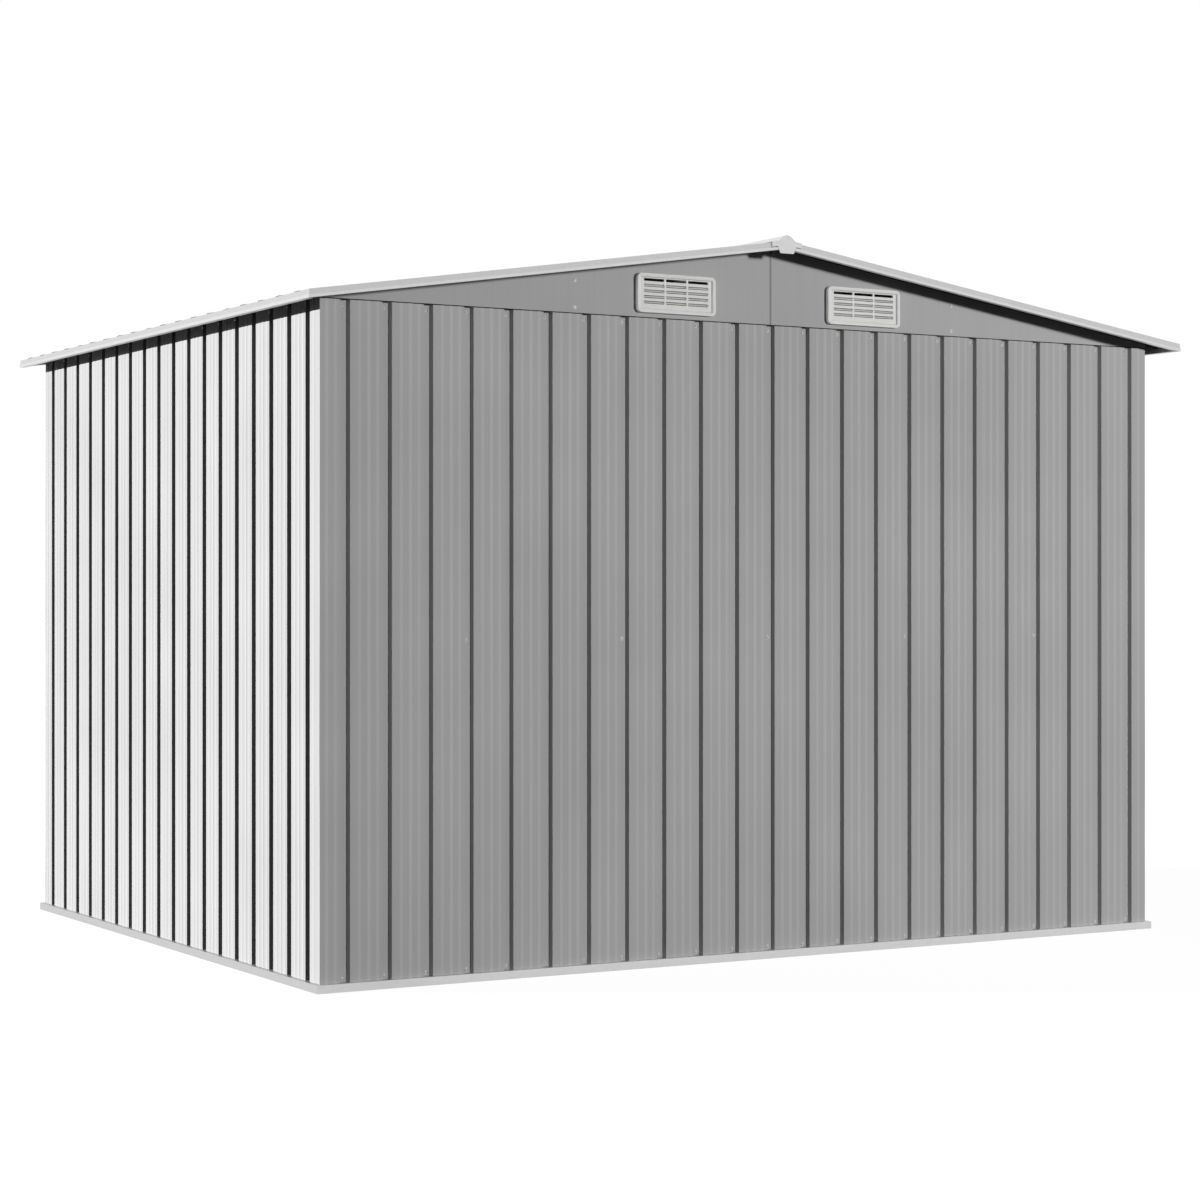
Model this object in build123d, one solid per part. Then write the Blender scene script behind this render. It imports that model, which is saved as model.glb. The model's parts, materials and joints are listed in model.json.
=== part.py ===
from build123d import *
import os
from math import hypot

# A small metal storage shed: ribbed sheet walls on a folded base rail, two flat gables
# with louvred vents, a low pitched ribbed roof with folded trims, and a pair of sliding doors.
# The doors face -Y and the back gable faces +Y. All sizes are millimetres.

# Walls
wall_width = 2449          # over the outer faces of the two side walls
wall_depth = 1934          # over the outer faces of the door wall and the back wall
sheet = 0.8                # sheet metal
rib_pitch = 105.75         # from groove to groove
groove_opening = 24        # width of a groove at the face of the sheet
groove_floor = 22          # width of its flat floor, between two nearly upright walls
groove_depth = 15
back_first_groove = 63.2   # from the +X corner of the back wall to its first groove
bead_places = (0.33, 0.55, 0.76)  # small stiffening beads, as shares of the rib pitch
bead_heights = (1.2, 2, 1.2)
bead_width = 12
lap_clearance = 1          # a lapped edge stops this short of the next fold
wall_sheet_ribs = 4        # grooves from one lapped joint to the next
jamb_return = 14           # folded edge beside the doorway

# Roof
side_overhang = 60.5
back_overhang = 76
front_overhang = 52
eave_height = 1568.4       # lowest edge of the eave trim
ridge_rise = 193.4         # from there up to the same edge at the ridge
trim_height = 20
trim_lip_height = 7        # lower band of a trim, standing proud of the upper one
trim_lip_step = 1.5
trim_return = 15           # bottom flange of a trim
roof_seat = 12             # underside of the roof sheets above the lower edge of the trim
roof_rib_foot = 30
roof_rib_crest = 16
roof_rib_height = 9
roof_sheets_per_slope = 4
ridge_gap = 2              # each slope stops this short of the middle
ridge_cap_half_width = 44
ridge_fold_half_width = 24
ridge_fold_height = 12.5
ridge_shoulder_half_width = 11   # the fold is blunt: it has a shoulder on each side
ridge_shoulder_height = 10
cap_end_skirt = 12         # the plate that closes the cap's end reaches this far below the ribs
cap_tongue_drop = 33.6     # and its tongue this far, over the joint of the verge trims
cap_tongue_half_width = 20
cap_tongue_flare = 7       # the tongue is this much wider on each side at its root
verge_joint_gap = 2

# Gables and vents
gable_joint_gap = 1.6      # between the two halves of a gable
gable_lap = 8.6            # the flat gable sheets reach this far down over the wall sheets
vent_offset = 280          # from the middle of the gable to the middle of a vent
vent_above_seam = 10.3     # from the lower edge of the gable to the lower edge of a vent
vent_width = 224
vent_tall = 96
vent_depth = 10
vent_corner = 12
vent_chamfer = 2.5
vent_rim = 9
vent_rim_height = 4
vent_hole_margin = 8       # the sheet behind a vent is cut out inside this margin
vent_spigot = 6            # the grille reaches this far through the sheet
vent_columns = 3
vent_rows = 5
slot_width = 58
slot_tall = 6.5
slot_column_spacing = 5    # bar between two slots side by side
slot_row_spacing = 7.2     # bar between a slot and the next one below it
slot_field_rise = 5        # the rows of slots lie this far above the middle of the vent
blade_thickness = 1.2
blade_chord = 8
blade_tilt = 40

# Base rail
rail_ledge = 20            # top of the rail, where the wall sheets stand
rail_skirt = 12            # the skirt stands this far outside the walls
rail_foot = 34             # foot flange, reaching inwards from the wall face
rail_upstand = 42
threshold_depth = 40       # inward reach of the rail under the doors
threshold_lip = 10

# Inner frame
frame_rail_tall = 44
frame_rail_deep = 25
mid_rail_height = 800
frame_clearance = 1
beam_half_width = 20
beam_tall = 40
beam_play = 0.2
purlin_offset = 562

# Doors
doorway_width = 1140
header_tall = 97.3         # from the top of the doorway to the top of the walls
door_overlap = 22          # each leaf runs behind the wall beside the doorway
door_setback = 19          # from the face of the wall to the face of a leaf
door_return = 10
door_gap = 1               # between the two leaves
door_play = 0.3
header_return = 12
track_tall = 40
track_deep = 32
handle_height = 850
handle_offset = 72
handle_tall = 130
handle_reach = 24
handle_width = 12
handle_thickness = 7

# Worked-out places
half_width = wall_width / 2
roof_half_width = half_width + side_overhang
roof_half_depth = (wall_depth + back_overhang + front_overhang) / 2
back_face = roof_half_depth - back_overhang
front_face = back_face - wall_depth
slope = ridge_rise / roof_half_width
frame_depth = groove_depth + sheet
half_doorway = doorway_width / 2
trim_inside = trim_lip_step + sheet
wall_rib = (groove_opening, groove_floor, groove_depth)
roof_rib = (roof_rib_foot, roof_rib_crest, roof_rib_height)


def roof_under(x):
    """Height of the underside of the roof sheets at a distance x from the middle."""
    return eave_height + roof_seat + slope * (roof_half_width - abs(x))


gable_stand = max(bead_heights)     # the gable sheets lie on the beads of the wall sheets
gable_back = back_face + gable_stand
gable_front = front_face - gable_stand
wall_top = roof_under(half_width + gable_stand)
seam_height = wall_top - gable_lap
vent_height = seam_height + vent_above_seam + vent_tall / 2
doorway_top = wall_top - header_tall
mitre_reach = 2 * trim_return


def folded(points, side=Side.LEFT):
    """Section of a folded sheet: a line and its parallel, mitred at each fold."""
    return make_face(offset(Polyline(*points), sheet, kind=Kind.INTERSECTION, side=side).edges())


def bead_points(groove, low, high):
    """The beads of the flat that follows a groove, where they lie between low and high."""
    points = []
    for place, height in zip(bead_places, bead_heights):
        centre = groove + place * rib_pitch
        if low + bead_width < centre < high - bead_width:
            points += [(centre - bead_width / 2, 0), (centre, -height), (centre + bead_width / 2, 0)]
    return points


def ribbed_line(length, ribs, form, under=False, over=False, beaded=False, returns=(0, 0)):
    """Outer line of one ribbed sheet of a run that goes from 0 to length.
    A sheet that laps under starts below the first rib of its list, one that laps over
    ends on the last, and each return is an edge folded back at an end of the run."""
    opening, floor, depth = form
    lap_end = floor / 2 - lap_clearance
    points = []
    low = 0
    if not under:
        points = [(0, returns[0]), (0, 0)] if returns[0] else [(0, 0)]
    for index, centre in enumerate(ribs):
        rise, floor_start = (centre - opening / 2, 0), (centre - floor / 2, depth)
        floor_end, fall = (centre + floor / 2, depth), (centre + opening / 2, 0)
        if index == 0 and under:
            points += [(centre - lap_end, depth), floor_end, fall]
        else:
            if beaded:
                points += bead_points(centre - rib_pitch, low, rise[0])
            if over and index == len(ribs) - 1:
                lapped = depth - sheet
                return points + [rise, (floor_start[0], lapped), (centre + lap_end, lapped)]
            points += [rise, floor_start, floor_end, fall]
        low = fall[0]
    if beaded:
        points += bead_points(ribs[-1], low, length)
    points.append((length, 0))
    if returns[1]:
        points.append((length, returns[1]))
    return points


def rib_places(length, opening, first=None):
    """Centres of the ribs along a run. Without a first place its two end flats are alike."""
    if first is None:
        gaps = int((length - 2 * opening) / rib_pitch)
        first = (length - gaps * rib_pitch) / 2
    count = int((length - first - opening) / rib_pitch) + 1
    return [first + rib_pitch * index for index in range(count)]


def lapped_sections(length, ribs, form, joints, beaded=False):
    """Sections of the sheets of one run. Each laps over the next at the rib whose
    number, counted from 0, is in joints."""
    starts = [0] + joints
    ends = joints + [len(ribs) - 1]
    sections = []
    for first, last in zip(starts, ends):
        under, over = first > 0, last < len(ribs) - 1
        sections.append(folded(ribbed_line(length, ribs[first:last + 1], form, under, over, beaded)))
    return sections


def on_side(side, solid, height=0.0, inset=0.0):
    """Turns a piece made along +X, with the inside of the shed at +Y, onto one side."""
    if side == "front":
        return Pos(-half_width + inset, front_face, height) * solid
    if side == "back":
        return Pos(half_width - inset, back_face, height) * Rot(0, 0, 180) * solid
    if side == "right":
        return Pos(half_width, front_face + inset, height) * Rot(0, 0, 90) * solid
    return Pos(-half_width, back_face - inset, height) * Rot(0, 0, -90) * solid


def wall_panels(side, length, ribs, inset=0.0):
    """The ribbed sheets of a closed wall, standing on the base rail."""
    joints = list(range(wall_sheet_ribs - 1, len(ribs) - 1, wall_sheet_ribs))
    sections = lapped_sections(length, ribs, wall_rib, joints, beaded=True)
    return [
        on_side(side, extrude(section, wall_top - rail_ledge), rail_ledge, inset)
        for section in sections]


def base_rail(length, inner, upstand):
    """Folded rail, mitred at both corners: foot flange, outer skirt, ledge and upstand."""
    section = folded([
        (rail_foot, 0), (-rail_skirt, 0), (-rail_skirt, rail_ledge),
        (inner, rail_ledge), (inner, rail_ledge + upstand)], Side.RIGHT)
    reach = threshold_depth + rail_foot
    run = Pos(-reach, 0, 0) * extrude(Plane.YZ * section, length + 2 * reach)
    plan = Polygon(
        (-reach, -reach), (length + reach, -reach), (length - reach, reach), (reach, reach),
        align=None)
    return run & extrude(plan, rail_ledge + upstand)


def channel(length, tall, deep):
    """C section along X: a web against the sheets and two flanges pointing inwards."""
    section = folded([(deep, 0), (0, 0), (0, tall), (deep, tall)], Side.RIGHT)
    return extrude(Plane.YZ * section, length)


def roof_beam(x):
    """Open channel from gable to gable, its two edges close under the roof sheets."""
    left, right = x - beam_half_width, x + beam_half_width
    base = roof_under(abs(x) + beam_half_width) - beam_tall
    section = folded([
        (left, roof_under(left) - beam_play), (left, base),
        (right, base), (right, roof_under(right) - beam_play)])
    plane = Plane(origin=(0, gable_back, 0), x_dir=(1, 0, 0), z_dir=(0, -1, 0))
    return extrude(plane * section, gable_back - gable_front)


def gable_sheet(inner_face, outward):
    """Half of a flat gable at +X, cut out behind its vent."""
    joint = gable_joint_gap / 2
    outline = Polygon(
        (joint, seam_height), (half_width, seam_height),
        (half_width, roof_under(half_width)), (joint, roof_under(joint)), align=None)
    hole = Pos(vent_offset, vent_height) * Rectangle(
        vent_width - 2 * vent_hole_margin, vent_tall - 2 * vent_hole_margin)
    plane = Plane(origin=(0, inner_face, 0), x_dir=(1, 0, 0), z_dir=(0, -1, 0))
    return extrude(plane * (outline - hole), -outward * sheet)


def louvre_vent():
    """Moulded grille facing +Z: raised chamfered rim and rows of slots. One tilted blade fills
    each slot, but for those of the top row, which are open."""
    body = extrude(RectangleRounded(vent_width, vent_tall, vent_corner), vent_depth)
    body = chamfer(body.faces().sort_by(Axis.Z)[-1].edges(), vent_chamfer)
    field = vent_depth - vent_rim_height
    pocket = Rectangle(vent_width - 2 * vent_rim, vent_tall - 2 * vent_rim)
    body -= Pos(0, 0, field) * extrude(pocket, vent_rim_height)
    spigot = Rectangle(
        vent_width - 2 * vent_hole_margin - lap_clearance, vent_tall - 2 * vent_hole_margin - lap_clearance)
    body += extrude(spigot, -vent_spigot)
    rise = Pos(0, slot_field_rise, 0)
    places = [rise * place for place in GridLocations(
        slot_width + slot_column_spacing, slot_tall + slot_row_spacing, vent_columns, vent_rows)]
    slots = Sketch() + [place * Rectangle(slot_width, slot_tall) for place in places]
    body -= Pos(0, 0, -vent_spigot) * extrude(slots, vent_spigot + field)
    blade = Rot(blade_tilt, 0, 0) * Box(slot_width, blade_thickness, blade_chord)
    open_row = max(place.position.Y for place in places)
    return body + [place * blade for place in places if place.position.Y < open_row - slot_tall]


def trim_section(seat):
    """Section of a roof trim: inner upstand, bottom flange, lower lip and upper band.
    Outwards is +X, and the outermost face is at 0."""
    return folded([
        (-trim_return, seat), (-trim_return, 0), (0, 0), (0, trim_lip_height),
        (-trim_lip_step, trim_lip_height + trim_lip_step), (-trim_lip_step, trim_height)])


def down_slope(section, from_x, to_x):
    """Runs a section that stands upright in the YZ plane at from_x up the +X slope to to_x."""
    run = from_x - to_x
    return extrude(section, run * hypot(1, slope), dir=(-1, 0, slope))


def roof_sheets():
    """The lapped sheets of the +X slope, from the eave trim up to the ridge."""
    eave_x = roof_half_width - trim_inside
    length = 2 * (roof_half_depth - trim_inside)
    ribs = rib_places(length, roof_rib_foot)
    share = (len(ribs) - 1) / roof_sheets_per_slope
    joints = [round(number * share) for number in range(1, roof_sheets_per_slope)]
    plane = Plane(origin=(eave_x, -length / 2, roof_under(eave_x)), x_dir=(0, 1, 0), z_dir=(1, 0, 0))
    return [
        down_slope(plane * section, eave_x, ridge_gap)
        for section in lapped_sections(length, ribs, roof_rib, joints)]


def mitre_block(corners):
    """Upright block over a plan outline, tall enough for every roof trim."""
    plan = Pos(0, 0, eave_height) * Polygon(*corners, align=None)
    return extrude(plan, ridge_rise + 4 * trim_height, both=True)


def verge_trim(outward):
    """Trim along the +X slope of the gable that faces outward, mitred at the eave corner."""
    plane = Plane(
        origin=(roof_half_width, outward * roof_half_depth, eave_height),
        x_dir=(0, outward, 0), z_dir=(outward, 0, 0))
    run = down_slope(plane * trim_section(roof_seat), roof_half_width, 0)
    middle = verge_joint_gap / 2
    outer_x, outer_y = roof_half_width + mitre_reach, roof_half_depth + mitre_reach
    inner_x, inner_y = roof_half_width - mitre_reach, roof_half_depth - mitre_reach
    corners = [(middle, outer_y), (outer_x, outer_y), (inner_x, inner_y), (middle, inner_y)]
    return run & mitre_block([(x, outward * y) for x, y in corners])


def eave_trim():
    """Trim along the +X eave, mitred at both corners."""
    plane = Plane(
        origin=(roof_half_width, roof_half_depth, eave_height), x_dir=(1, 0, 0), z_dir=(0, -1, 0))
    run = extrude(plane * trim_section(roof_seat + slope * (trim_return - sheet)), 2 * roof_half_depth)
    outer_x, outer_y = roof_half_width + mitre_reach, roof_half_depth + mitre_reach
    inner_x, inner_y = roof_half_width - mitre_reach, roof_half_depth - mitre_reach
    return run & mitre_block([
        (outer_x, outer_y), (inner_x, inner_y), (inner_x, -inner_y), (outer_x, -outer_y)])


def ridge_cap():
    """Folded cap on the ribs of both slopes. A plate closes each end, with a tongue in its
    middle that hangs over the joint of the verge trims."""
    def on_ribs(x):
        return roof_under(x) + roof_rib_height + sheet

    apex = on_ribs(0) + ridge_fold_height - sheet
    half_line = [
        (ridge_shoulder_half_width, on_ribs(ridge_shoulder_half_width) + ridge_shoulder_height - sheet),
        (ridge_fold_half_width, on_ribs(ridge_fold_half_width)),
        (ridge_cap_half_width, on_ribs(ridge_cap_half_width))]
    line = [(-x, height) for x, height in reversed(half_line)] + [(0, apex)] + half_line
    end = roof_half_depth + sheet
    plane = Plane(origin=(0, end, 0), x_dir=(1, 0, 0), z_dir=(0, -1, 0))
    foot = on_ribs(0) - cap_tongue_drop
    root = cap_tongue_half_width + cap_tongue_flare
    under_root = on_ribs(root) - cap_end_skirt
    under_edge = on_ribs(ridge_cap_half_width) - cap_end_skirt
    plate = Polygon(
        (-ridge_cap_half_width, under_edge), (-root, under_root),
        (-cap_tongue_half_width, foot), (cap_tongue_half_width, foot),
        (root, under_root), (ridge_cap_half_width, under_edge), *reversed(line), align=None)
    cap = extrude(plane * folded(line), 2 * end)
    cap += extrude(plane * plate, sheet)
    return cap + Pos(0, sheet - 2 * end, 0) * extrude(plane * plate, sheet)


def front_panel():
    """Ribbed wall sheet beside the doorway at -X, with a folded edge at the doorway."""
    length = half_width - half_doorway
    line = ribbed_line(
        length, rib_places(length, groove_opening), wall_rib, beaded=True, returns=(0, jamb_return))
    return on_side("front", extrude(folded(line), wall_top - rail_ledge), rail_ledge)


def door_header():
    """Flat folded sheet above the doorway."""
    section = folded([
        (front_face, wall_top), (front_face, doorway_top), (front_face + header_return, doorway_top)])
    return Pos(-half_doorway, 0, 0) * extrude(Plane.YZ * section, doorway_width)


def door_track(top):
    """Channel open downwards, in which both leaves hang."""
    start = front_face + frame_depth
    section = folded([
        (start, top - track_tall), (start, top),
        (start + track_deep, top), (start + track_deep, top - track_tall)], Side.RIGHT)
    reach = half_width - frame_depth - frame_rail_deep - frame_clearance
    return Pos(-reach, 0, 0) * extrude(Plane.YZ * section, 2 * reach)


def door_leaf(top):
    """Ribbed leaf at -X, folded back along both upright edges."""
    width = half_doorway + door_overlap - door_gap / 2
    foot = rail_ledge + door_play
    line = ribbed_line(
        width, rib_places(width, groove_opening), wall_rib, returns=(door_return, door_return))
    leaf = extrude(folded(line), top - sheet - door_play - foot)
    return Pos(-door_gap / 2 - width, front_face + door_setback, foot) * leaf


def door_handle():
    """Flat pull handle on the leaf at -X."""
    grip = Pos(-handle_reach / 2, handle_height) * Rectangle(handle_reach, handle_tall)
    grip = chamfer(grip.vertices().group_by(Axis.X)[0], handle_thickness)
    grip -= Pos(-(handle_reach - handle_thickness) / 2, handle_height) * Rectangle(
        handle_reach - handle_thickness, handle_tall - 2 * handle_thickness)
    handle = extrude(Plane.YZ * grip, handle_width)
    return Pos(-handle_offset - handle_width / 2, front_face + door_setback, 0) * handle


def mirrored(solid):
    """The same piece on the other side of the middle of the shed."""
    return mirror(solid, about=Plane.YZ)


pieces = {}


def add_pair(left, right, solid):
    """Names a piece made at +X and its mirror image at -X."""
    pieces[right] = solid
    pieces[left] = mirrored(solid)


def add_base_rails():
    pieces["base_rail_front"] = on_side("front", base_rail(wall_width, threshold_depth, threshold_lip))
    pieces["base_rail_back"] = on_side("back", base_rail(wall_width, frame_depth, rail_upstand))
    pieces["base_rail_left"] = on_side("left", base_rail(wall_depth, frame_depth, rail_upstand))
    pieces["base_rail_right"] = on_side("right", base_rail(wall_depth, frame_depth, rail_upstand))


def add_walls():
    back_grooves = rib_places(wall_width, groove_opening, back_first_groove)
    for number, panel in enumerate(wall_panels("back", wall_width, back_grooves), 1):
        pieces[f"back_panel_{number}"] = panel
    side_length = wall_depth - 2 * sheet
    side_grooves = rib_places(side_length, groove_opening)
    for side in ("left", "right"):
        for number, panel in enumerate(wall_panels(side, side_length, side_grooves, sheet), 1):
            pieces[f"{side}_panel_{number}"] = panel
    panel = front_panel()
    pieces["front_panel_left"] = panel
    pieces["front_panel_right"] = mirrored(panel)


def add_frame():
    cross_inset = frame_depth + frame_rail_deep + frame_clearance
    runs = {
        "front": (wall_width - 2 * cross_inset, cross_inset),
        "back": (wall_width - 2 * cross_inset, cross_inset),
        "left": (wall_depth - 2 * frame_depth, frame_depth),
        "right": (wall_depth - 2 * frame_depth, frame_depth)}
    for side, (length, inset) in runs.items():
        rail = Pos(0, frame_depth, 0) * channel(length, frame_rail_tall, frame_rail_deep)
        pieces[f"top_rail_{side}"] = on_side(side, rail, wall_top - frame_rail_tall, inset)
        if side == "front":
            continue
        if side != "back":
            length -= track_deep + frame_clearance
            inset += track_deep + frame_clearance if side == "right" else 0
            rail = Pos(0, frame_depth, 0) * channel(length, frame_rail_tall, frame_rail_deep)
        pieces[f"mid_rail_{side}"] = on_side(side, rail, mid_rail_height - frame_rail_tall / 2, inset)
    pieces["ridge_beam"] = roof_beam(0)
    purlin = roof_beam(purlin_offset)
    pieces["purlins"] = Compound([purlin, mirrored(purlin)])


def add_gables():
    back_vent = Plane(origin=(vent_offset, gable_back + sheet, vent_height), x_dir=(-1, 0, 0), z_dir=(0, 1, 0))
    front_vent = Plane(origin=(vent_offset, gable_front - sheet, vent_height), x_dir=(1, 0, 0), z_dir=(0, -1, 0))
    vent = louvre_vent()
    add_pair("gable_back_left", "gable_back_right", gable_sheet(gable_back, 1))
    add_pair("gable_front_left", "gable_front_right", gable_sheet(gable_front, -1))
    add_pair("vent_back_left", "vent_back_right", back_vent.location * vent)
    add_pair("vent_front_left", "vent_front_right", front_vent.location * vent)


def add_roof():
    for number, roof_sheet in enumerate(roof_sheets(), 1):
        add_pair(f"roof_sheet_left_{number}", f"roof_sheet_right_{number}", roof_sheet)
    add_pair("eave_trim_left", "eave_trim_right", eave_trim())
    for gable, outward in (("back", 1), ("front", -1)):
        trim = verge_trim(outward)
        pieces[f"verge_trim_{gable}"] = Compound([trim, mirrored(trim)])
    pieces["ridge_cap"] = ridge_cap()


def add_doors():
    track_top = wall_top - frame_rail_tall
    pieces["door_header"] = door_header()
    pieces["door_track"] = door_track(track_top)
    leaf, handle = door_leaf(track_top), door_handle()
    pieces["door_left"] = leaf
    pieces["door_right"] = mirrored(leaf)
    pieces["door_handle_left"] = handle
    pieces["door_handle_right"] = mirrored(handle)


add_base_rails()
add_walls()
add_frame()
add_gables()
add_roof()
add_doors()

os.makedirs("parts", exist_ok=True)
for name, piece in pieces.items():
    export_step(piece, f"parts/{name}.step")
print(len(pieces), "pieces")
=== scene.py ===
import json
import math
import bpy
import numpy as np
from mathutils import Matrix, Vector

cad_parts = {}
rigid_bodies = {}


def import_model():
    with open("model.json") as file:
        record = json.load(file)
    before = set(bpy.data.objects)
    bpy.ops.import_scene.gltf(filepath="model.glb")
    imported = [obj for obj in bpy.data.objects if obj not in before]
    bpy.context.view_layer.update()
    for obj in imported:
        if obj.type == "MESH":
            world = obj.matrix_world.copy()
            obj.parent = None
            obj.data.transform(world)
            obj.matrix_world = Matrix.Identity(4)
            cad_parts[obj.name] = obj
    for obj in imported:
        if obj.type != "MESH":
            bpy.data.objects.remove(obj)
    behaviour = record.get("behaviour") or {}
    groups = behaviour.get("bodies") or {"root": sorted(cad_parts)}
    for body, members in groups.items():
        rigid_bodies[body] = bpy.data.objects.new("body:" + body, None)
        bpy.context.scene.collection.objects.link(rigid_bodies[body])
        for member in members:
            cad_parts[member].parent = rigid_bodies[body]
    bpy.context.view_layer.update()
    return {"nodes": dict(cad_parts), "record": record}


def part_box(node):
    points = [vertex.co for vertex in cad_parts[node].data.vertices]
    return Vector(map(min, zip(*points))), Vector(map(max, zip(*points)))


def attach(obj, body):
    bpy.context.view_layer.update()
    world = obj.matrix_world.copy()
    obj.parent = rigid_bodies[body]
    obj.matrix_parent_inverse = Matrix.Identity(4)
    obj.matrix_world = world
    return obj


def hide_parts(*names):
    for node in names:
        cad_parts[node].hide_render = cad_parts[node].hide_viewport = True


# A small metal storage shed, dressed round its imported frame: roll-formed walls, roof and doors,
# folded trims, louvred gable vents, screws, and the finishes of all of them.
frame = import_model()
mm = 0.001
body = "root"
print("stage: frame with", len(frame["nodes"]), "nodes")


def boxOf(node):  # lowest and highest corner of a CAD node, in millimetres
    low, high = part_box(node)
    return np.array(low) / mm, np.array(high) / mm


def linearColour(hexColour):  # sRGB hex to linear, by the sRGB curve
    shares = [int(hexColour[place:place + 2], 16) / 255 for place in (1, 3, 5)]
    return tuple(s / 12.92 if s <= 0.04045 else ((s + 0.055) / 1.055) ** 2.4 for s in shares) + (1.0,)


def addNode(tree, kind, settings=None, links=None):  # settings name an attribute or an input socket
    node = tree.nodes.new(kind)
    for name, value in (settings or {}).items():
        if isinstance(name, str) and hasattr(node, name):
            setattr(node, name, value)
        else:
            node.inputs[name].default_value = value
    for name, source in (links or {}).items():
        tree.links.new(source, node.inputs[name])
    return node


def newObject(name, data):
    holder = bpy.data.objects.new(name, data)
    bpy.context.scene.collection.objects.link(holder)
    return holder


def newMaterial(name):
    material = bpy.data.materials.new(name)
    material.use_nodes = True
    material.node_tree.nodes.clear()
    return material, material.node_tree


def startFinish(name):  # a new material, its node tree and the place on the piece, in metres
    material, tree = newMaterial(name)
    return material, tree, addNode(tree, "ShaderNodeTexCoord").outputs["Object"]


def endFinish(material, tree, colour, tone, settings, links):
    # Every finish ends in its colour times a tone round 1, on a surface with its own settings.
    toned = addNode(
        tree, "ShaderNodeVectorMath", {"operation": "SCALE", 0: linearColour(colour)[:3]},
        {"Scale": tone}).outputs[0]
    surface = addNode(tree, "ShaderNodeBsdfPrincipled", settings, {"Base Color": toned, **links})
    addNode(tree, "ShaderNodeOutputMaterial", None, {"Surface": surface.outputs[0]})
    return material


# Finishes


def fineGrain(tree, place, finish):  # the fine grain of a coat or a mould, as a noise and as its bumps
    noise = addNode(
        tree, "ShaderNodeTexNoise", {"Scale": 1 / (finish["grainMm"] * mm), "Detail": finish["grainDetail"]},
        {"Vector": place}).outputs[0]
    bumps = addNode(
        tree, "ShaderNodeBump",
        {"Strength": finish["grainStrength"], "Distance": finish["grainHeightMm"] * mm},
        {"Height": noise}).outputs[0]
    return noise, bumps


sheetPaint = {
    "roughness": 0.5,
    "glossLevel": 0.1,
    "grainMm": 2.5,         # orange peel of the baked coat, really about 1 mm, drawn coarser to show
    "grainHeightMm": 0.012, "grainDetail": 1, "grainStrength": 0.5,
    "streakMm": 5.0,        # width of the rolling streaks
    "streakLengthMm": 700,
    "streakShare": 0.35,    # how strong they are beside the clouds
    "cloudMm": 420,         # soft unevenness of a whole sheet
    "shade": 0.05,
    "dustDark": 0.8,        # how much full painted shade takes from the colour
    # the backing's dark grey is painted shade for the shaded underside of the roof
    "backing": "#555557",
    "backingCloudMm": 140,
}


def withPaintedShading(tree, tone, dark):  # tone times 1 - dark * the share of painted shade that a mesh carries, none being 0
    dust = addNode(tree, "ShaderNodeAttribute", {"attribute_name": "grooveDust"}).outputs["Fac"]
    unshaded = addNode(
        tree, "ShaderNodeMapRange", {"To Min": 1.0, "To Max": 1 - dark}, {"Value": dust}).outputs[0]
    return addNode(tree, "ShaderNodeMath", {"operation": "MULTIPLY"}, {0: tone, 1: unshaded}).outputs[0]


def satinPaintedSteel(name, colour, streakAxis):
    # Coil-coated steel sheet with a baked satin coat: an even mid grey, a soft broad gloss, faint streaks
    # along the rolling direction and a very fine orange peel. Painted shade darkens the steep walls of the
    # grooves most, the flats a little, and leaves the bead crests bright as a painted highlight.
    f = sheetPaint
    material, tree, place = startFinish(name)
    scale = [1 / (f["streakMm"] * mm)] * 3
    scale[streakAxis] = 1 / (f["streakLengthMm"] * mm)
    stretched = addNode(tree, "ShaderNodeMapping", {"Scale": scale}, {"Vector": place}).outputs[0]
    streak = addNode(
        tree, "ShaderNodeTexNoise", {"Scale": 1, "Detail": 3}, {"Vector": stretched}).outputs[0]
    cloud = addNode(
        tree, "ShaderNodeTexNoise", {"Scale": 1 / (f["cloudMm"] * mm), "Detail": 2},
        {"Vector": place}).outputs[0]
    mixed = addNode(
        tree, "ShaderNodeMath", {"operation": "MULTIPLY_ADD", 1: f["streakShare"]},
        {0: streak, 2: cloud}).outputs[0]
    tone = addNode(
        tree, "ShaderNodeMapRange",
        {"From Min": 0.45, "From Max": 0.9, "To Min": 1 - f["shade"], "To Max": 1 + f["shade"]},
        {"Value": mixed}).outputs[0]
    gloss = addNode(
        tree, "ShaderNodeMapRange",
        {"From Min": 0.3, "From Max": 0.7, "To Min": f["roughness"] - 0.05, "To Max": f["roughness"] + 0.05},
        {"Value": streak}).outputs[0]
    return endFinish(
        material, tree, colour, withPaintedShading(tree, tone, f["dustDark"]),
        {"IOR": 1.46, "Specular IOR Level": f["glossLevel"]},
        {"Roughness": gloss, "Normal": fineGrain(tree, place, f)[1]})


def backingCoatWithPaintedShade(name, colour):
    # Thin epoxy backing coat on the hidden side of the sheets: a little cloudy where the roller laid it
    # on unevenly. Its dull dark grey is painted shade, darker than a real backing coat, for the roof's
    # underside.
    material, tree, place = startFinish(name)
    cloud = addNode(
        tree, "ShaderNodeTexNoise", {"Scale": 1 / (sheetPaint["backingCloudMm"] * mm), "Detail": 3},
        {"Vector": place}).outputs[0]
    tone = addNode(
        tree, "ShaderNodeMapRange", {"From Min": 0.3, "From Max": 0.7, "To Min": 0.85, "To Max": 1.15},
        {"Value": cloud}).outputs[0]
    return endFinish(material, tree, colour, tone, {"Roughness": 0.9, "Specular IOR Level": 0.05}, {})


trimFinish = {
    "roughness": 0.42, "metallic": 0.8, "spangleMm": 9, "dustDark": 0.8,
    "grainMm": 1.6, "grainHeightMm": 0.01, "grainDetail": 2, "grainStrength": 0.4}


def spangles(tree, place, sizeMm):  # a chance value for each crystal of a zinc coat
    cells = addNode(tree, "ShaderNodeTexVoronoi", {"Scale": 1 / (sizeMm * mm)}, {"Vector": place})
    return addNode(
        tree, "ShaderNodeSeparateColor", None, {"Color": cells.outputs["Color"]}).outputs[0]


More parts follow.
